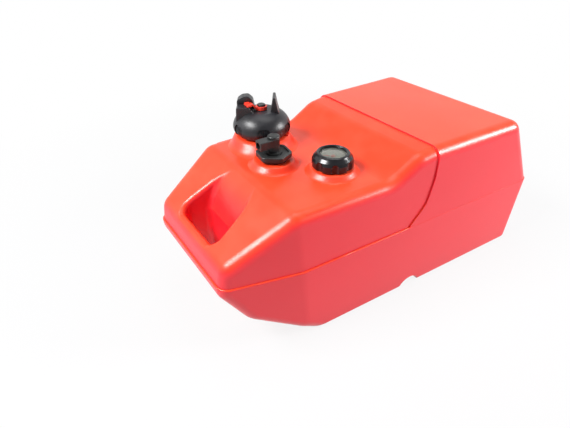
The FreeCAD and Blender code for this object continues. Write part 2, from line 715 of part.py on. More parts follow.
def cap_gasket():
    low = FILL_NECK_TOP + PART_GAP
    return tube(FILL_X, FILL_Y, low, LINER_PLATE_Z, FILL_NECK_R + 0.5, FILL_BORE_R + 0.5)


def lock_lever():
    ring = tube(0, 0, LEVER_BASE_Z, LEVER_TOP_Z, LEVER_R, POST_R + RUNNING_GAP)
    low = LEVER_BASE_Z
    side = [(POST_R + 1.5, low), (LEVER_R, low), (15.4, THUMB_Z + 0.7), (LEVER_REACH, THUMB_Z + 1.1),
            (LEVER_REACH, THUMB_Z + 3.5), (14.2, THUMB_Z + 3.5), (LEVER_R + 0.4, LEVER_TOP_Z),
            (POST_R + 1.5, LEVER_TOP_Z)]
    arm = slab(side, [0, 0, 3.0, 0.5, 1.0, 3.0, 2.0, 0], -LEVER_ARM / 2, LEVER_ARM / 2)
    pad = prism([(LEVER_REACH - 7.5, -LEVER_PAD / 2), (LEVER_REACH, -LEVER_PAD / 2),
                 (LEVER_REACH, LEVER_PAD / 2), (LEVER_REACH - 7.5, LEVER_PAD / 2)],
                [2.0] * 4, THUMB_Z + 1.1, THUMB_Z + 4.1)
    solid = ring.fuse(arm).fuse(pad)
    solid = solid.cut(cylinder(0, 0, LEVER_BASE_Z - 1, LEVER_TOP_Z + 5, POST_R + RUNNING_GAP))
    solid.rotate(V(0, 0, 0), V(0, 0, 1), EAR_DEG + 180 + LEVER_REST)
    solid.translate(V(FILL_X, FILL_Y, 0))
    return solid


def vent_poppet():
    low = SEAT_Z + PART_GAP + SEAL_THICK
    head = LEVER_TOP_Z + PART_GAP
    profile = [(0, low), (POPPET_R, low), (POPPET_R, low + POPPET_THICK), (STEM_R, low + POPPET_THICK),
               (STEM_R, head), (HEAD_R, head), (HEAD_R, head + 1.6), (HEAD_R - 1, head + 2.6),
               (0, head + 2.6)]
    return turned(FILL_X, FILL_Y, profile)


def vent_seal():
    return tube(FILL_X, FILL_Y, SEAT_Z + PART_GAP, SEAT_Z + PART_GAP + SEAL_THICK, POPPET_R - 0.5,
                SEAT_BORE_R + 0.7)


def vent_spring():
    low = SEAT_Z + PART_GAP + SEAL_THICK + POPPET_THICK
    return coil(FILL_X, FILL_Y, low + PART_GAP, CAP_CROWN_Z - PART_GAP, VENT_COIL_R, 0.5, 5)


# ---------------------------------------------------------------- fuel gauge
def gauge_ring():
    root = GAUGE_CREST_R + THREAD_GAP
    lip = LENS_TOP_Z
    profile = [(root, RING_BASE_Z), (RING_R - 1, RING_BASE_Z), (RING_R, RING_BASE_Z + 1.2),
               (RING_R, RING_TOP_Z - 10.5), (RING_R - 1.6, RING_TOP_Z - 6.5), (RING_R - 5, RING_TOP_Z - 2.8),
               (RING_R - 6.2, RING_TOP_Z - 0.7), (RING_R - 7.4, RING_TOP_Z), (WINDOW_R + 0.8, RING_TOP_Z),
               (WINDOW_R, RING_TOP_Z - 0.8), (WINDOW_R, lip), (LENS_R + 0.3, lip),
               (LENS_R + 0.3, GAUGE_NECK_TOP + 0.5), (root, GAUGE_NECK_TOP - 0.5)]
    solid = turned(GAUGE_X, GAUGE_Y, profile)
    thread = inner_thread(GAUGE_X, GAUGE_Y, GAUGE_THREAD_Z + GAUGE_PITCH / 2, root,
                          GAUGE_NECK_R + THREAD_GAP, GAUGE_PITCH, 1.25)
    solid = solid.fuse(thread)
    reach = RING_R + SCALLOP_R - SCALLOP_DEPTH
    for i in range(RING_LOBES):
        post = cylinder(reach, 0, RING_BASE_Z - 1, SCALLOP_TOP_Z, SCALLOP_R)
        tool = post.fuse(Part.makeSphere(SCALLOP_R, V(reach, 0, SCALLOP_TOP_Z)))
        tool.translate(V(GAUGE_X, GAUGE_Y, 0))
        solid = solid.cut(spun(tool, GAUGE_X, GAUGE_Y, RING_FIRST_DEG + i * 360 / RING_LOBES))
    return solid


def gauge_lens():
    low = LENS_TOP_Z - LENS_RIM
    rim = WINDOW_R - 0.6
    dome = [(rim, LENS_TOP_Z), (rim * 2 / 3, LENS_TOP_Z + 1.1), (rim / 3, LENS_TOP_Z + 1.65),
            (0.0, LENS_TOP_Z + 1.8)]
    under = [(0.0, LENS_TOP_Z + 0.3), (rim / 2, LENS_TOP_Z - 0.1), (rim - 2.2, low + 0.9), (rim - 1.0, low),
             (LENS_R, low), (LENS_R, LENS_TOP_Z)]
    return turned_smooth(GAUGE_X, GAUGE_Y, under, dome)


def lens_gasket():
    return tube(GAUGE_X, GAUGE_Y, HOUSING_TOP_Z, LENS_TOP_Z - LENS_RIM, LENS_R, WINDOW_R - 0.6)


def gauge_gasket():
    under = HOUSING_TOP_Z - FLANGE_THICK
    return tube(GAUGE_X, GAUGE_Y, GAUGE_NECK_TOP, under, GAUGE_NECK_R - 0.5, GAUGE_BORE_R + 0.2)


def gauge_housing():
    cup = GAUGE_BORE_R - 0.6
    under = HOUSING_TOP_Z - FLANGE_THICK
    bearing = SPINDLE_R + RUNNING_GAP
    profile = [(bearing, CUP_FLOOR_Z), (cup, CUP_FLOOR_Z), (cup, under), (LENS_R + 0.2, under),
               (LENS_R + 0.2, HOUSING_TOP_Z), (cup - 0.8, HOUSING_TOP_Z), (cup - 0.8, DIAL_Z),
               (cup - 2.2, DIAL_Z), (cup - 2.2, CUP_FLOOR_Z + 2), (bearing, CUP_FLOOR_Z + 2)]
    solid = turned(GAUGE_X, GAUGE_Y, profile)
    for side in (-1, 1):
        solid = solid.cut(cylinder(GAUGE_X, GAUGE_Y + side * ROD_REACH, CUP_FLOOR_Z - 1, CUP_FLOOR_Z + 3,
                                   ROD_R + RUNNING_GAP))
    return solid


def gauge_dial():
    reach = GAUGE_BORE_R - 1.5
    solid = tube(GAUGE_X, GAUGE_Y, DIAL_Z, DIAL_Z + 0.8, reach, SPINDLE_R + 0.4)
    for i in range(DIAL_TICKS):
        tick = Part.makeBox(2.6 if i % 2 else 3.6, 0.7, 0.6,
                            V(GAUGE_X + reach - 5.3, GAUGE_Y - 0.35, DIAL_Z + 0.6))
        solid = solid.fuse(spun(tick, GAUGE_X, GAUGE_Y, -135 + i * STRIP_TWIST / (DIAL_TICKS - 1)))
    return solid


def gauge_pointer():
    tip = GAUGE_BORE_R - 5.7
    hub = cylinder(0, 0, POINTER_Z - 0.4, POINTER_Z + 1.0, 3.0)
    hand = prism([(-4.5, -1.2), (4, -1.2), (tip, -0.4), (tip, 0.4), (4, 1.2), (-4.5, 1.2)], [0] * 6,
                 POINTER_Z, POINTER_Z + 0.8)
    solid = hub.fuse(hand).cut(cylinder(0, 0, POINTER_Z - 1, POINTER_Z + 0.6, SPINDLE_R + RUNNING_GAP))
    solid.rotate(V(0, 0, 0), V(0, 0, 1), STRIP_TWIST / 2)
    solid.translate(V(GAUGE_X, GAUGE_Y, 0))
    return solid


def strip_angle(z):
    """The strip's turn at a height, zero where the float's driver plate rests."""
    return (z - DRIVER_Z) * STRIP_TWIST / FLOAT_TRAVEL


def spindle():
    low = FRAME_FOOT_Z + 6
    high = CUP_FLOOR_Z - 3
    wires = []
    for i in range(STRIP_STEPS + 1):
        z = low + (high - low) * i / STRIP_STEPS
        angle = math.radians(strip_angle(z))
        along = V(math.cos(angle), math.sin(angle), 0) * (STRIP_WIDTH / 2)
        across = V(-math.sin(angle), math.cos(angle), 0) * (STRIP_THICK / 2)
        axis = V(0, 0, z)
        points = [axis - along - across, axis + along - across, axis + along + across, axis - along + across]
        wires.append(Part.makePolygon(points + points[:1]))
    strip = Part.makeLoft(wires, True, False)
    strip.translate(V(GAUGE_X, GAUGE_Y, 0))
    foot = cylinder(GAUGE_X, GAUGE_Y, FRAME_FOOT_Z + 0.5, low + 1, SPINDLE_R)
    head = cylinder(GAUGE_X, GAUGE_Y, high - 1, POINTER_Z + 0.4, SPINDLE_R)
    return strip.fuse(foot).fuse(head)


def guide_rod():
    rods = []
    for side in (-1, 1):
        rods.append(cylinder(GAUGE_X, GAUGE_Y + side * ROD_REACH, FRAME_FOOT_Z, CUP_FLOOR_Z + 1.5, ROD_R))
    return Part.makeCompound(rods)


def frame_foot():
    solid = tube(GAUGE_X, GAUGE_Y, FRAME_FOOT_Z, FRAME_FOOT_Z + 3, FLOAT_R + 0.5, SPINDLE_R + RUNNING_GAP)
    for side in (-1, 1):
        solid = solid.cut(cylinder(GAUGE_X, GAUGE_Y + side * ROD_REACH, FRAME_FOOT_Z - 1, FRAME_FOOT_Z + 4,
                                   ROD_R + RUNNING_GAP))
        solid = solid.cut(cylinder(GAUGE_X + side * 9, GAUGE_Y, FRAME_FOOT_Z - 1, FRAME_FOOT_Z + 4, 3.0))
    return solid


def gauge_float():
    solid = tube(GAUGE_X, GAUGE_Y, FLOAT_REST_Z, FLOAT_REST_Z + FLOAT_LENGTH, FLOAT_R, STRIP_WIDTH / 2 + 0.8)
    rims = edges_near(solid, lambda e, m: abs(math.hypot(m.x - GAUGE_X, m.y - GAUGE_Y) - FLOAT_R) < 1e-3
                      and e.Closed)
    solid = solid.makeFillet(2.0, rims)
    for side in (-1, 1):
        solid = solid.cut(cylinder(GAUGE_X, GAUGE_Y + side * ROD_REACH, 0, DECK_Z, ROD_R + 0.35))
    return solid


def float_driver():
    low = FLOAT_REST_Z + FLOAT_LENGTH
    solid = cylinder(GAUGE_X, GAUGE_Y, low, low + DRIVER_THICK, DRIVER_R)
    slot = Part.makeBox(STRIP_WIDTH + 0.8, STRIP_THICK + 0.8, 10,
                        V(GAUGE_X - STRIP_WIDTH / 2 - 0.4, GAUGE_Y - STRIP_THICK / 2 - 0.4, low - 5))
    return solid.cut(slot)


# ---------------------------------------------------------------- fuel draw fitting
def hexagon(radius):
    angles = [math.radians(NUT_FIRST_DEG + i * 60) for i in range(6)]
    return [(DRAW_X + radius * math.cos(a), DRAW_Y + radius * math.sin(a)) for a in angles]


def pickup_nut():
    root = DRAW_CREST_R + THREAD_GAP
    flange = prism(hexagon(NUT_R + 1), [7.0] * 6, NUT_FLANGE_Z, NUT_TOP_Z)
    rims = edges_near(flange, lambda e, m: abs(m.z - NUT_TOP_Z) < 1e-6 or abs(m.z - NUT_FLANGE_Z) < 1e-6)
    flange = flange.makeFillet(1.3, rims)
    recess = prism(hexagon(NUT_R - 3.4), [5.0] * 6, NUT_TOP_Z - 1.8, NUT_TOP_Z + 5)
    solid = flange.cut(recess).fuse(cylinder(DRAW_X, DRAW_Y, NUT_BASE_Z, NUT_FLANGE_Z + 1, NUT_SKIRT_R))
    solid = solid.cut(cylinder(DRAW_X, DRAW_Y, NUT_BASE_Z - 1, HEAD_TOP_Z, root))
    solid = solid.cut(cylinder(DRAW_X, DRAW_Y, NUT_BASE_Z - 1, NUT_TOP_Z + 5, NUT_HOLE_R))
    thread = inner_thread(DRAW_X, DRAW_Y, DRAW_THREAD_Z + DRAW_PITCH / 2, root, DRAW_NECK_R + THREAD_GAP,
                          DRAW_PITCH, 0.9)
    return solid.fuse(thread)


def head_gasket():
    return tube(DRAW_X, DRAW_Y, DRAW_NECK_TOP, DRAW_NECK_TOP + 1, DRAW_NECK_R - 0.2, DRAW_BORE_R + 0.3)


def pickup_head():
    flange = DRAW_NECK_TOP + 1
    tube_fit = TUBE_R + RUNNING_GAP
    groove = SWIVEL_R - 1.75
    rim = DRAW_NECK_R + 0.4
    plug = DRAW_BORE_R - PART_GAP
    spigot = TUBE_R + 2.4
    profile = [(POST_BORE_R, flange - 1), (POST_BORE_R, SWIVEL_TOP_Z), (SWIVEL_R - 0.8, SWIVEL_TOP_Z),
               (SWIVEL_R, SWIVEL_TOP_Z - 0.8), (SWIVEL_R, SEAL_RING_Z + 1), (groove, SEAL_RING_Z + 1),
               (groove, SEAL_RING_Z - 1), (SWIVEL_R, SEAL_RING_Z - 1), (SWIVEL_R, HEAD_TOP_Z),
               (rim, HEAD_TOP_Z), (rim, flange), (plug, flange), (plug, flange - 10), (spigot, flange - 12),
               (spigot, flange - 19), (tube_fit, flange - 19), (tube_fit, flange - 1)]
    return turned(DRAW_X, DRAW_Y, profile)


def post_seal():
    ring = Part.makeTorus(SWIVEL_R - 0.9, 0.85)
    ring.translate(V(DRAW_X, DRAW_Y, SEAL_RING_Z))
    return ring


def outlet_elbow():
    end = DRAW_X - ELBOW_REACH
    back = DRAW_X + ELBOW_HALF + 1
    outline = [(end, DRAW_Y - ELBOW_HALF), (back, DRAW_Y - ELBOW_HALF), (back, DRAW_Y + ELBOW_HALF),
               (end, DRAW_Y + ELBOW_HALF)]
    block = prism(outline, [1.5, 6.5, 6.5, 1.5], ELBOW_BASE_Z, ELBOW_TOP_Z)
    rims = edges_near(block, lambda e, m: abs(m.z - ELBOW_BASE_Z) < 1e-6 or abs(m.z - ELBOW_TOP_Z) < 1e-6)
    block = block.makeFillet(1.2, rims)
    solid = block.fuse(cylinder(DRAW_X, DRAW_Y, ELBOW_FOOT_Z, ELBOW_BASE_Z + 2, STEM_HUB_R))
    solid = solid.fuse(cylinder(DRAW_X, DRAW_Y, ELBOW_FOOT_Z, ELBOW_FOOT_Z + 2.5, NUT_HOLE_R - 0.6))
    floor = SWIVEL_TOP_Z + PART_GAP
    seat = ELBOW_TOP_Z - BONNET_SINK
    solid = solid.cut(cylinder(DRAW_X, DRAW_Y, ELBOW_FOOT_Z - 1, floor, SWIVEL_R + RUNNING_GAP))
    solid = solid.cut(cylinder(DRAW_X, DRAW_Y, floor - 1, seat + 1, CHAMBER_R))
    solid = solid.cut(cylinder(DRAW_X, DRAW_Y, seat, ELBOW_TOP_Z + 1, BONNET_NECK_R + RUNNING_GAP))
    port = Part.makeCylinder(PORT_R, PORT_DEPTH, V(end, DRAW_Y, PORT_Z), V(1, 0, 0))
    way = Part.makeCylinder(2.6, ELBOW_REACH, V(end, DRAW_Y, PORT_Z), V(1, 0, 0))
    return solid.cut(port).cut(way)


def check_ball():
    return Part.makeSphere(BALL_R, V(DRAW_X, DRAW_Y, BALL_Z))


def check_spring():
    foot = BALL_Z + math.sqrt(BALL_R ** 2 - CHECK_COIL_R ** 2) + PART_GAP
    return coil(DRAW_X, DRAW_Y, foot, ELBOW_TOP_Z - BONNET_SINK - 0.1, CHECK_COIL_R, 0.3, 4)


def valve_bonnet():
    low = ELBOW_TOP_Z + SEAL_THICK
    foot = ELBOW_TOP_Z - BONNET_SINK
    dome = [(BONNET_R, low + 0.8), (BONNET_R - 0.8, low + 2.3), (BONNET_R - 4, low + 3.3),
            (0.0, BONNET_TOP_Z)]
    under = [(0.0, foot), (BONNET_NECK_R, foot), (BONNET_NECK_R, low), (BONNET_R, low)]
    return turned_smooth(DRAW_X, DRAW_Y, under, dome)


def bonnet_seal():
    return tube(DRAW_X, DRAW_Y, ELBOW_TOP_Z, ELBOW_TOP_Z + SEAL_THICK, BONNET_R - 0.8, BONNET_NECK_R + 0.4)


def pickup_tube():
    return tube(DRAW_X, DRAW_Y, TUBE_END_Z, DRAW_NECK_TOP - 0.2, TUBE_R, TUBE_BORE_R)


def pickup_filter():
    fit = TUBE_R + RUNNING_GAP
    wall = FILTER_R - 1.2
    profile = [(0, FILTER_BASE_Z), (FILTER_R, FILTER_BASE_Z), (FILTER_R, FILTER_TOP_Z), (fit, FILTER_TOP_Z),
               (fit, FILTER_TOP_Z - 8), (wall, FILTER_TOP_Z - 9.5), (wall, FILTER_BASE_Z + 2),
               (0, FILTER_BASE_Z + 2)]
    solid = turned(DRAW_X, DRAW_Y, profile)
    rows = 4
    height = (FILTER_TOP_Z - FILTER_BASE_Z - 14.0) / rows
    for i in range(8):
        for j in range(rows):
            z = FILTER_BASE_Z + 3 + j * height
            window = Part.makeBox(4, 3.4, height - 1.2, V(DRAW_X + wall - 1.5, DRAW_Y - 1.7, z))
            solid = solid.cut(spun(window, DRAW_X, DRAW_Y, i * 45))
    return solid


PARTS = [
    tank_shell, cap_shell, cap_liner, cap_gasket, lock_lever, vent_poppet, vent_seal, vent_spring,
    gauge_ring, gauge_lens, lens_gasket, gauge_gasket, gauge_housing, gauge_dial, gauge_pointer,
    spindle, guide_rod, frame_foot, gauge_float, float_driver,
    pickup_nut, head_gasket, pickup_head, post_seal, outlet_elbow, check_ball, check_spring,
    valve_bonnet, bonnet_seal, pickup_tube, pickup_filter,
]

os.makedirs("parts", exist_ok=True)
for make in PARTS:
    make().exportStep(os.path.join("parts", make.__name__ + ".step"))
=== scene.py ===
import json
import math

import bpy
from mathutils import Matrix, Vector


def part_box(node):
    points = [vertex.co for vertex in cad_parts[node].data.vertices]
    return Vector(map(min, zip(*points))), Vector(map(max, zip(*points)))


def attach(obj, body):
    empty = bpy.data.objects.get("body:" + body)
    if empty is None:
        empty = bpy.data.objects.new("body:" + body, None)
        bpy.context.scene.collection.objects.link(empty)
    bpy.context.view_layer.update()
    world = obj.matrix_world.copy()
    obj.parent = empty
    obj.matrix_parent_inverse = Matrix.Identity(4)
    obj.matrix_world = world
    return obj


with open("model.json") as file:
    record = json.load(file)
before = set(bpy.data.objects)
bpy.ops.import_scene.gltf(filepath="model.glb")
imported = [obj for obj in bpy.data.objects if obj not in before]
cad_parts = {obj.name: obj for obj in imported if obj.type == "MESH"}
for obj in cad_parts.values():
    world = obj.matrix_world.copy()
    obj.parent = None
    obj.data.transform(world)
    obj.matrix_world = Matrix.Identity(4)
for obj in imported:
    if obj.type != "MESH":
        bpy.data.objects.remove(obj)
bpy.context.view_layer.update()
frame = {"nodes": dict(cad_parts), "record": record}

WHITE = (1.0, 1.0, 1.0, 1.0)

# A noise's value seldom leaves this range, so tones and roughness are spread over it.
TONE_LOW = 0.3
TONE_HIGH = 0.7


# Node helpers -------------------------------------------------------------------------------------

def link(tree, start, end):
    tree.links.new(start, end)


def add(tree, kind, **settings):
    """Add a node; settings are its properties, and a setting named in_X is the input socket X."""
    node = tree.nodes.new(kind)
    for key, value in settings.items():
        if key.startswith("in_"):
            node.inputs[key[3:].replace("_", " ")].default_value = value
        else:
            setattr(node, key, value)
    return node


def noise(tree, place, scale):
    node = add(tree, "ShaderNodeTexNoise", in_Scale=scale, in_Detail=2.0)
    link(tree, place, node.inputs["Vector"])
    return node.outputs["Fac"]


def spread(tree, value, low, high, to_low=0.0, to_high=1.0):
    """Map a value smoothly from one range onto another, held at both ends."""
    node = add(tree, "ShaderNodeMapRange", interpolation_type="SMOOTHSTEP")
    link(tree, value, node.inputs["Value"])
    ends = {"From Min": low, "From Max": high, "To Min": to_low, "To Max": to_high}
    for name, number in ends.items():
        node.inputs[name].default_value = number
    return node.outputs["Result"]


def sums(tree, operation, first, second=None):
    """One step of arithmetic on sockets or plain numbers."""
    node = add(tree, "ShaderNodeMath", operation=operation)
    for socket, value in zip(node.inputs, (first, second)):
        if isinstance(value, (int, float)):
            socket.default_value = value
        elif value is not None:
            link(tree, value, socket)
    return node.outputs[0]


def blend_colour(tree, factor, first, second):
    node = add(tree, "ShaderNodeMix", data_type="RGBA")
    for index, value in ((0, factor), (6, first), (7, second)):
        if hasattr(value, "links"):
            link(tree, value, node.inputs[index])
        else:
            node.inputs[index].default_value = value
    return node.outputs[2]


def rgb(red, green, blue):
    return (red, green, blue, 1.0)


def object_place(tree):
    return add(tree, "ShaderNodeTexCoord").outputs["Object"]


def facing_up(tree, low, high):
    """How far the surface looks up: 0 where its normal's height is low, 1 where it is high."""
    normal = add(tree, "ShaderNodeSeparateXYZ")
    link(tree, add(tree, "ShaderNodeNewGeometry").outputs["Normal"], normal.inputs[0])
    return spread(tree, normal.outputs["Z"], low, high)


# Shared surface effects, each one node group ------------------------------------------------------

def new_group(name, inputs, outputs):
    """A shader group of plain numbers, with the sockets that bring them in and take them out."""
    group = bpy.data.node_groups.new(name, "ShaderNodeTree")
    for label, value in inputs:
        made = group.interface.new_socket(label, in_out="INPUT", socket_type="NodeSocketFloat")
        made.default_value = value
    for label in outputs:
        group.interface.new_socket(label, in_out="OUTPUT", socket_type="NodeSocketFloat")
    given = group.nodes.new("NodeGroupInput").outputs
    return group, given, group.nodes.new("NodeGroupOutput").inputs


def moulded_grain():
    """The skin that a mould leaves: fine peel, slow waviness, and the tone that goes with it."""
    group, given, out = new_group(
        "moulded_grain", [("Peel Scale", 900.0), ("Wave Scale", 18.0), ("Peel Share", 0.5)],
        ["Height", "Tone"])
    place = object_place(group)
    peel = add(group, "ShaderNodeTexNoise", in_Detail=2.0)
    wave = add(group, "ShaderNodeTexNoise", in_Detail=3.0)
    for node, label in ((peel, "Peel Scale"), (wave, "Wave Scale")):
        link(group, place, node.inputs["Vector"])
        link(group, given[label], node.inputs["Scale"])
    mix = add(group, "ShaderNodeMix", data_type="FLOAT")
    link(group, given["Peel Share"], mix.inputs[0])
    link(group, wave.outputs["Fac"], mix.inputs[2])
    link(group, peel.outputs["Fac"], mix.inputs[3])
    link(group, mix.outputs[0], out["Height"])
    link(group, wave.outputs["Fac"], out["Tone"])
    return group


DUST_FROM_Z, DUST_FULL_Z = -0.2, 0.9      # how far up a face looks, from no dust to all of it
DUST_FROM, DUST_FULL = 0.38, 0.72         # the patch noise, from no dust to all of it


def settled_dust():
    """Fine dust and rub that gathers on faces that look up, in patches."""
    group, given, out = new_group(
        "settled_dust", [("Patch Scale", 40.0), ("Amount", 0.3)], ["Mask"])
    patch = add(group, "ShaderNodeTexNoise", in_Detail=2.0)
    link(group, object_place(group), patch.inputs["Vector"])
    link(group, given["Patch Scale"], patch.inputs["Scale"])
    up = facing_up(group, DUST_FROM_Z, DUST_FULL_Z)
    speck = spread(group, patch.outputs["Fac"], DUST_FROM, DUST_FULL)
    settled = sums(group, "MULTIPLY", up, speck)
    link(group, sums(group, "MULTIPLY", settled, given["Amount"]), out["Mask"])
    return group


GRAIN = moulded_grain()
DUST = settled_dust()


def use_group(tree, group, **values):
    node = add(tree, "ShaderNodeGroup", node_tree=group)
    for key, value in values.items():
        node.inputs[key.replace("_", " ")].default_value = value
    return node


def new_material(name, **plain):
    """A material with its Principled shader; plain numbers go straight on the shader's sockets."""
    made = bpy.data.materials.new(name)
    made.use_nodes = True
    shader = made.node_tree.nodes["Principled BSDF"]
    for key, value in plain.items():
        shader.inputs[key.replace("_", " ")].default_value = value
    return made, made.node_tree, shader


def bump(tree, shader, height, depth):
    """Relief of the given depth in metres."""
    node = add(tree, "ShaderNodeBump", in_Distance=depth, in_Strength=1.0)
    link(tree, height, node.inputs["Height"])
    link(tree, node.outputs["Normal"], shader.inputs["Normal"])


# Finishes -----------------------------------------------------------------------------------------

ROUGH_UNDER, ROUGH_OVER = 0.03, 0.04      # how far a moulding's roughness strays from its mean
DUST_ROUGH = 0.25                         # roughness that full dust adds


def moulded(name, colour, paler, rough, depth, peel=900.0, dust=0.25, dusty=None):
    """A moulded plastic: peel, slight tone changes, roughness that follows them, a little dust."""
    made, tree, shader = new_material(name)
    grain = use_group(tree, GRAIN, Peel_Scale=peel, Wave_Scale=60.0)
    tone, height = grain.outputs["Tone"], grain.outputs["Height"]
    body = blend_colour(tree, spread(tree, tone, TONE_LOW, TONE_HIGH), rgb(*colour), rgb(*paler))
    mask = use_group(tree, DUST, Amount=dust).outputs["Mask"]
    link(tree, blend_colour(tree, mask, body, rgb(*(dusty or paler))), shader.inputs["Base Color"])
    base = spread(tree, tone, TONE_LOW, TONE_HIGH, rough - ROUGH_UNDER, rough + ROUGH_OVER)
    full = sums(tree, "ADD", base, sums(tree, "MULTIPLY", mask, DUST_ROUGH))
    link(tree, full, shader.inputs["Roughness"])
    bump(tree, shader, height, depth)
    return made


# Painted light and shade on one red: a lit orange red for faces that look up, a shaded deeper red
# for the walls.
TANK_PAINTED_LIT_TOP = (rgb(0.90, 0.048, 0.012), rgb(0.94, 0.066, 0.020))
TANK_PAINTED_SHADED_WALL = (rgb(0.86, 0.016, 0.030), rgb(0.91, 0.030, 0.046))
TANK_DUSTY = rgb(0.90, 0.20, 0.12)
TANK_PAINTED_LIGHT_FROM_Z, TANK_PAINTED_LIGHT_FULL_Z = 0.15, 0.85    # how far up a face looks, from the painted wall shade to the painted top light
TANK_ROUGH_LOW, TANK_ROUGH_HIGH = 0.285, 0.335
TANK_DUST_ROUGH = 0.4
TANK_RELIEF = 0.00035


def tank_plastic():
    """Blow-moulded polyethylene, lightly milky, with painted light and shade: a lit orange red
    where it looks up and a shaded deep red on the walls.
    """
    made, tree, shader = new_material(
        "tank_plastic", IOR=1.5, Subsurface_Weight=0.10, Subsurface_Radius=(1.0, 0.18, 0.12),
        Subsurface_Scale=0.006)
    shader.subsurface_method = "RANDOM_WALK"
    # share of painted top light, by how far the face looks up
    up = facing_up(tree, TANK_PAINTED_LIGHT_FROM_Z, TANK_PAINTED_LIGHT_FULL_Z)
    grain = use_group(tree, GRAIN, Peel_Scale=520.0, Wave_Scale=9.0, Peel_Share=0.35)
    tone, height = grain.outputs["Tone"], grain.outputs["Height"]
    lit_top_colour = blend_colour(tree, tone, *TANK_PAINTED_LIT_TOP)
    shaded_wall_colour = blend_colour(tree, tone, *TANK_PAINTED_SHADED_WALL)
    # painted light and shade: the lit top red where the face looks up, the shaded wall red where it
    # does not
    body = blend_colour(tree, up, shaded_wall_colour, lit_top_colour)
    mask = use_group(tree, DUST, Amount=0.10, Patch_Scale=24.0).outputs["Mask"]
    link(tree, blend_colour(tree, mask, body, TANK_DUSTY), shader.inputs["Base Color"])
    rough = spread(tree, tone, TONE_LOW, TONE_HIGH, TANK_ROUGH_LOW, TANK_ROUGH_HIGH)
    full = sums(tree, "ADD", rough, sums(tree, "MULTIPLY", mask, TANK_DUST_ROUGH))
    link(tree, full, shader.inputs["Roughness"])
    bump(tree, shader, height, TANK_RELIEF)
    return made


LENS_PALE = (rgb(0.60, 0.61, 0.56), rgb(0.66, 0.66, 0.60))
LENS_ROUGH_LOW, LENS_ROUGH_HIGH = 0.04, 0.10
LENS_RELIEF = 0.00004


def lens_plastic():
    """Clear moulded plastic with a faint haze."""
    made, tree, shader = new_material("lens_plastic", IOR=1.49, Transmission_Weight=0.9)
    grain = use_group(tree, GRAIN, Peel_Scale=300.0, Wave_Scale=40.0)
    tone, height = grain.outputs["Tone"], grain.outputs["Height"]
    link(tree, blend_colour(tree, tone, *LENS_PALE), shader.inputs["Base Color"])
    rough = spread(tree, tone, TONE_LOW, TONE_HIGH, LENS_ROUGH_LOW, LENS_ROUGH_HIGH)
    link(tree, rough, shader.inputs["Roughness"])
    bump(tree, shader, height, LENS_RELIEF)
    return made


METAL_LINE_SCALE = 2400.0
METAL_STRETCH = (1.0, 1.0, 0.04)          # the drawing lines run up the piece
METAL_ROUGH_UNDER, METAL_ROUGH_OVER = 0.06, 0.08
METAL_RELIEF = 0.00005


def drawn_metal(name, dark, light, rough):
    """Drawn wire or strip: fine lines along it."""
    made, tree, shader = new_material(name, Metallic=1.0)
    place = add(tree, "ShaderNodeMapping", in_Scale=METAL_STRETCH)
    link(tree, object_place(tree), place.inputs["Vector"])
    lines = noise(tree, place.outputs[0], METAL_LINE_SCALE)
    link(tree, blend_colour(tree, lines, rgb(*dark), rgb(*light)), shader.inputs["Base Color"])
    uneven = spread(tree, lines, TONE_LOW, TONE_HIGH,
                    rough - METAL_ROUGH_UNDER, rough + METAL_ROUGH_OVER)
    link(tree, uneven, shader.inputs["Roughness"])
    bump(tree, shader, lines, METAL_RELIEF)
    return made


TANK = tank_plastic()
CHARCOAL = moulded("cap_plastic", (0.010, 0.010, 0.012), (0.018, 0.018, 0.022), rough=0.36,
                   depth=0.00012, peel=1500.0, dust=0.12, dusty=(0.09, 0.09, 0.10))
BLACK_GLOSS = moulded("gauge_ring_plastic", (0.006, 0.006, 0.007), (0.010, 0.010, 0.012),
                      rough=0.19, depth=0.00006, peel=800.0, dust=0.05, dusty=(0.08, 0.08, 0.08))
BLACK = moulded("fitting_plastic", (0.009, 0.010, 0.010), (0.017, 0.018, 0.018), rough=0.34,
                depth=0.00015, peel=1800.0, dust=0.12, dusty=(0.12, 0.12, 0.12))
LEVER_RED = moulded("lever_plastic", (0.86, 0.035, 0.018), (0.92, 0.06, 0.03), rough=0.32,
                    depth=0.00008, peel=1500.0, dust=0.1, dusty=(0.9, 0.35, 0.3))
NATURAL = moulded("natural_plastic", (0.66, 0.64, 0.57), (0.74, 0.72, 0.66), rough=0.42,
                  depth=0.0001)
RUBBER = moulded("seal_rubber", (0.018, 0.018, 0.018), (0.032, 0.032, 0.032), rough=0.62,
                 depth=0.00012, peel=2200.0, dusty=(0.12, 0.12, 0.12))
FOAM = moulded("float_foam", (0.030, 0.030, 0.030), (0.055, 0.055, 0.055), rough=0.8,
               depth=0.0006, peel=1100.0, dusty=(0.1, 0.1, 0.1))
DIAL = moulded("dial_print", (0.27, 0.28, 0.23), (0.32, 0.33, 0.28), rough=0.5, depth=0.00005)
POINTER = moulded("pointer_paint", (0.62, 0.05, 0.03), (0.72, 0.07, 0.04), rough=0.45,
                  depth=0.00006)
LENS = lens_plastic()
ALLOY = drawn_metal("spindle_alloy", (0.62, 0.63, 0.64), (0.78, 0.79, 0.80), rough=0.34)
STEEL = drawn_metal("spring_steel", (0.42, 0.42, 0.41), (0.62, 0.62, 0.60), rough=0.28)

FINISH = {
    "tank_red": TANK, "cap_charcoal": CHARCOAL, "natural_plastic": NATURAL, "seal_rubber": RUBBER,
    "lever_red": LEVER_RED, "gauge_black": BLACK_GLOSS, "gauge_lens": LENS, "dial_grey": DIAL,
    "pointer_red": POINTER, "spindle_alloy": ALLOY, "spring_steel": STEEL, "float_black": FOAM,
    "fitting_black": BLACK,
}
for part in frame["record"]["subparts"]:
    mesh = frame["nodes"][part["node"]].data
    mesh.materials.clear()
    mesh.materials.append(FINISH[part["material_slot"]])


# Fine pieces that repeat --------------------------------------------------------------------------

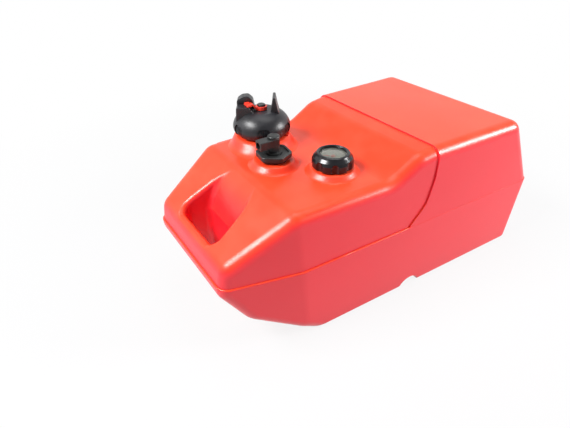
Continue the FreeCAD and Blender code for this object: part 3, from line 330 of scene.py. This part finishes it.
def new_tree(name, inputs):
    """A geometry tree with named inputs, a finish among them."""
    tree = bpy.data.node_groups.new(name, "GeometryNodeTree")
    keys = {}
    for label, kind, value in inputs + [("Finish", "NodeSocketMaterial", None)]:
        made = tree.interface.new_socket(label, in_out="INPUT", socket_type=kind)
        if value is not None:
            made.default_value = value
        keys[label] = made.identifier
    tree.interface.new_socket("Geometry", in_out="OUTPUT", socket_type="NodeSocketGeometry")
    return tree, keys, tree.nodes.new("NodeGroupInput").outputs


def close_tree(tree, given, shape):
    """End a tree in real faces with its finish on them."""
    real = tree.nodes.new("GeometryNodeRealizeInstances")
    paint = tree.nodes.new("GeometryNodeSetMaterial")
    link(tree, shape, real.inputs["Geometry"])
    link(tree, real.outputs["Geometry"], paint.inputs["Geometry"])
    link(tree, given["Finish"], paint.inputs["Material"])
    link(tree, paint.outputs["Geometry"], tree.nodes.new("NodeGroupOutput").inputs["Geometry"])


def graduation_tree():
    """Short bars set round an arc, every one of them pointing at its centre."""
    tree, keys, given = new_tree("graduations", [
        ("Count", "NodeSocketInt", 41), ("Radius", "NodeSocketFloat", 0.0155),
        ("Start", "NodeSocketFloat", 0.0), ("Sweep", "NodeSocketFloat", math.pi),
        ("Bar", "NodeSocketVector", (0.001, 0.0002, 0.0001)),
        ("Centre", "NodeSocketVector", (0.0, 0.0, 0.0))])
    line = tree.nodes.new("GeometryNodeMeshLine")
    link(tree, given["Count"], line.inputs["Count"])
    share = sums(tree, "DIVIDE", tree.nodes.new("GeometryNodeInputIndex").outputs[0],
                 sums(tree, "SUBTRACT", given["Count"], 1.0))
    angle = sums(tree, "ADD", given["Start"], sums(tree, "MULTIPLY", share, given["Sweep"]))
    around = tree.nodes.new("ShaderNodeCombineXYZ")
    for axis, operation in (("X", "COSINE"), ("Y", "SINE")):
        link(tree, sums(tree, "MULTIPLY", sums(tree, operation, angle), given["Radius"]),
             around.inputs[axis])
    ring = tree.nodes.new("GeometryNodeSetPosition")
    link(tree, line.outputs["Mesh"], ring.inputs["Geometry"])
    link(tree, around.outputs[0], ring.inputs["Position"])
    link(tree, given["Centre"], ring.inputs["Offset"])
    bar = tree.nodes.new("GeometryNodeMeshCube")
    link(tree, given["Bar"], bar.inputs["Size"])
    turn = tree.nodes.new("ShaderNodeCombineXYZ")
    link(tree, angle, turn.inputs["Z"])
    bars = tree.nodes.new("GeometryNodeInstanceOnPoints")
    link(tree, ring.outputs["Geometry"], bars.inputs["Points"])
    link(tree, bar.outputs["Mesh"], bars.inputs["Instance"])
    link(tree, turn.outputs[0], bars.inputs["Rotation"])
    close_tree(tree, given, bars.outputs["Instances"])
    return tree, keys


def gauze_tree():
    """A sleeve of woven strands: rings and uprights that cross."""
    tree, keys, given = new_tree("gauze", [
        ("Uprights", "NodeSocketInt", 48), ("Rings", "NodeSocketInt", 30),
        ("Radius", "NodeSocketFloat", 0.007), ("Length", "NodeSocketFloat", 0.02),
        ("Strand", "NodeSocketFloat", 0.0001), ("Middle", "NodeSocketVector", (0.0, 0.0, 0.0))])
    sleeve = tree.nodes.new("GeometryNodeMeshCylinder")
    sleeve.fill_type = "NONE"
    for socket, label in (("Vertices", "Uprights"), ("Side Segments", "Rings"),
                          ("Radius", "Radius"), ("Depth", "Length")):
        link(tree, given[label], sleeve.inputs[socket])
    place = tree.nodes.new("GeometryNodeTransform")
    link(tree, sleeve.outputs["Mesh"], place.inputs["Geometry"])
    link(tree, given["Middle"], place.inputs["Translation"])
    strands = tree.nodes.new("GeometryNodeMeshToCurve")
    link(tree, place.outputs["Geometry"], strands.inputs["Mesh"])
    section = tree.nodes.new("GeometryNodeCurvePrimitiveCircle")
    section.inputs["Resolution"].default_value = 4
    link(tree, given["Strand"], section.inputs["Radius"])
    solid = tree.nodes.new("GeometryNodeCurveToMesh")
    link(tree, strands.outputs["Curve"], solid.inputs["Curve"])
    link(tree, section.outputs["Curve"], solid.inputs["Profile Curve"])
    close_tree(tree, given, solid.outputs["Mesh"])
    return tree, keys


def grow(name, made, body, values):
    """Run a geometry tree once and keep the plain mesh, which rides on a body."""
    tree, keys = made
    seed = bpy.data.objects.new(name + "_seed", bpy.data.meshes.new(name + "_seed"))
    bpy.context.scene.collection.objects.link(seed)
    modifier = seed.modifiers.new(name, "NODES")
    modifier.node_group = tree
    for label, value in values.items():
        modifier[keys[label]] = value
    depsgraph = bpy.context.evaluated_depsgraph_get()
    shape = bpy.data.meshes.new_from_object(seed.evaluated_get(depsgraph))
    bpy.data.objects.remove(seed)
    piece = bpy.data.objects.new(name, shape)
    bpy.context.scene.collection.objects.link(piece)
    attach(piece, body)


DIVISIONS = 41
DIVISION_BAR = (0.0012, 0.00028, 0.00006)
DIVISION_INSET = 0.0010                   # from the dial's rim to the bars' middles
DIAL_FACE = 0.0008                        # height of the dial's face above its back
DIAL_START, DIAL_SWEEP = -135.0, 270.0    # degrees


def dial_print():
    """Fine printed divisions round the gauge's dial, between the raised ones."""
    low, high = (Vector(corner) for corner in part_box("gauge_dial"))
    centre = (low + high) / 2
    reach = (high.x - low.x) / 2
    grow("dial_divisions", graduation_tree(), "tank", {
        "Count": DIVISIONS, "Radius": reach - DIVISION_INSET, "Bar": DIVISION_BAR,
        "Start": math.radians(DIAL_START), "Sweep": math.radians(DIAL_SWEEP),
        "Centre": (centre.x, centre.y, low.z + DIAL_FACE), "Finish": BLACK_GLOSS})


GAUZE_UPRIGHTS, GAUZE_RINGS = 54, 34
GAUZE_STRAND = 0.00009
GAUZE_INSET = 0.0006                      # from the basket's outside to the gauze
GAUZE_LENGTH = 0.0155
GAUZE_MIDDLE = 0.0105                     # height of its middle above the basket's foot


def filter_gauze():
    """The fine gauze behind the draw filter's windows."""
    low, high = (Vector(corner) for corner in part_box("pickup_filter"))
    centre = (low + high) / 2
    grow("filter_gauze", gauze_tree(), "tank", {
        "Uprights": GAUZE_UPRIGHTS, "Rings": GAUZE_RINGS, "Strand": GAUZE_STRAND,
        "Radius": (high.x - low.x) / 2 - GAUZE_INSET, "Length": GAUZE_LENGTH,
        "Middle": (centre.x, centre.y, low.z + GAUZE_MIDDLE), "Finish": BLACK})


dial_print()
filter_gauze()


# Stage --------------------------------------------------------------------------------------------

FLOOR_GREY = (rgb(0.56, 0.56, 0.58), rgb(0.62, 0.62, 0.64))
FLOOR_MOTTLE_SCALE = 2.0
FLOOR_HALF = 12.0
FLOOR_DROP = 0.0004                       # just under the tank, so that the two don't share a plane
FLOOR_WHITE = 0.88                        # share of plain white near the tank
FLOOR_CLEAR_FROM, FLOOR_CLEAR_TO = 0.40, 1.0    # distance over which that share grows to all of it


def any_ray(tree, *kinds):
    """1 for rays of the named kinds, else 0."""
    seen = add(tree, "ShaderNodeLightPath")
    share = seen.outputs[kinds[0]]
    for kind in kinds[1:]:
        share = sums(tree, "MAXIMUM", share, seen.outputs[kind])
    return share


def pale_floor():
    """White paper: lit near the tank, where it keeps the shadow, and plain white further out."""
    made, tree, shader = new_material("pale_floor", Roughness=0.9, Specular_IOR_Level=0.2)
    place = object_place(tree)
    pale = blend_colour(tree, noise(tree, place, FLOOR_MOTTLE_SCALE), *FLOOR_GREY)
    link(tree, pale, shader.inputs["Base Color"])
    glow = add(tree, "ShaderNodeEmission", in_Color=WHITE)
    reach = add(tree, "ShaderNodeVectorMath", operation="LENGTH")
    link(tree, place, reach.inputs[0])
    share = spread(tree, reach.outputs["Value"], FLOOR_CLEAR_FROM, FLOOR_CLEAR_TO, FLOOR_WHITE, 1.0)
    clear = any_ray(tree, "Is Camera Ray", "Is Glossy Ray", "Is Transmission Ray")
    mix = add(tree, "ShaderNodeMixShader")
    link(tree, sums(tree, "MULTIPLY", clear, share), mix.inputs[0])
    link(tree, shader.outputs[0], mix.inputs[1])
    link(tree, glow.outputs[0], mix.inputs[2])
    link(tree, mix.outputs[0], tree.nodes["Material Output"].inputs["Surface"])
    return made


def make_floor():
    mesh = bpy.data.meshes.new("studio_floor")
    corners = [(x * FLOOR_HALF, y * FLOOR_HALF, 0) for x, y in ((-1, -1), (1, -1), (1, 1), (-1, 1))]
    mesh.from_pydata(corners, [], [(0, 1, 2, 3)])
    mesh.materials.append(pale_floor())
    floor = bpy.data.objects.new("studio_floor", mesh)
    bpy.context.scene.collection.objects.link(floor)
    floor.location.z = -FLOOR_DROP


# The world as gloss mirrors it, by the Y and the Z of a direction: dimmest up to WORLD_FRONT_Y and
# in full past WORLD_BACK_Y; in full up to WORLD_LOW_Z and dimmest past WORLD_HIGH_Z.
WORLD_FRONT_Y, WORLD_BACK_Y = -0.6, 0.45
WORLD_FRONT_LIGHT = 0.25
WORLD_LOW_Z, WORLD_HIGH_Z = 0.45, 0.85
WORLD_OVER_LIGHT = 0.2
WORLD_FILL = 0.13                         # the light that it gives


def make_world():
    """A white backdrop with a soft fill; gloss mirrors it dimmer in front and overhead."""
    world = bpy.data.worlds.new("studio_world")
    world.use_nodes = True
    tree = world.node_tree
    back = tree.nodes["Background"]
    way = add(tree, "ShaderNodeSeparateXYZ")
    link(tree, add(tree, "ShaderNodeTexCoord").outputs["Generated"], way.inputs[0])
    behind = spread(tree, way.outputs["Y"], WORLD_FRONT_Y, WORLD_BACK_Y, WORLD_FRONT_LIGHT, 1.0)
    lower = spread(tree, way.outputs["Z"], WORLD_LOW_Z, WORLD_HIGH_Z, 1.0, WORLD_OVER_LIGHT)
    lit = sums(tree, "MULTIPLY", behind, lower)
    mirrored = sums(tree, "MULTIPLY", lit, any_ray(tree, "Is Glossy Ray"))
    shown = sums(tree, "MAXIMUM", any_ray(tree, "Is Camera Ray", "Is Transmission Ray"), mirrored)
    back.inputs["Color"].default_value = WHITE
    link(tree, sums(tree, "MAXIMUM", shown, WORLD_FILL), back.inputs["Strength"])
    bpy.context.scene.world = world


# Each softbox: its name, place, width, depth and power in watts. They all aim at the tank's middle.
SOFTBOX_AIM = (0.0, 0.0, 0.15)
SOFTBOXES = [
    ("softbox_left", (-1.22, 0.20, 1.38), 0.85, 0.45, 38.0),
    ("softbox_right", (1.33, -1.02, 0.90), 0.65, 0.4, 33.0),
    ("softbox_over", (0.15, 0.10, 1.90), 1.2, 0.9, 9.0),
]


def softbox(name, place, width, depth, power):
    lamp = bpy.data.lights.new(name, "AREA")
    lamp.shape = "RECTANGLE"
    lamp.size = width
    lamp.size_y = depth
    lamp.energy = power
    box = bpy.data.objects.new(name, lamp)
    box.location = place
    box.rotation_euler = (Vector(SOFTBOX_AIM) - Vector(place)).to_track_quat("-Z", "Y").to_euler()
    bpy.context.scene.collection.objects.link(box)


CAMERA_PLACE = (-0.43688, -0.46299, 0.50970)
CAMERA_AZIMUTH = -33.8926                 # degrees, from -Y towards +X
CAMERA_DOWN = 34.6963                     # degrees that it looks down
CAMERA_LENS = 27.79                       # millimetres
CAMERA_SENSOR = 36.0


def make_camera():
    lens = bpy.data.cameras.new("studio_camera")
    lens.sensor_width = CAMERA_SENSOR
    lens.lens = CAMERA_LENS
    camera = bpy.data.objects.new("studio_camera", lens)
    turn, down = math.radians(CAMERA_AZIMUTH), math.radians(CAMERA_DOWN)
    flat = math.cos(down)
    back = Vector((math.sin(turn) * flat, -math.cos(turn) * flat, math.sin(down)))
    camera.location = CAMERA_PLACE
    camera.rotation_euler = (-back).to_track_quat("-Z", "Y").to_euler()
    bpy.context.scene.collection.objects.link(camera)
    bpy.context.scene.camera = camera


make_floor()
make_world()
for settings in SOFTBOXES:
    softbox(*settings)
make_camera()
bpy.context.scene.view_settings.view_transform = "Standard"
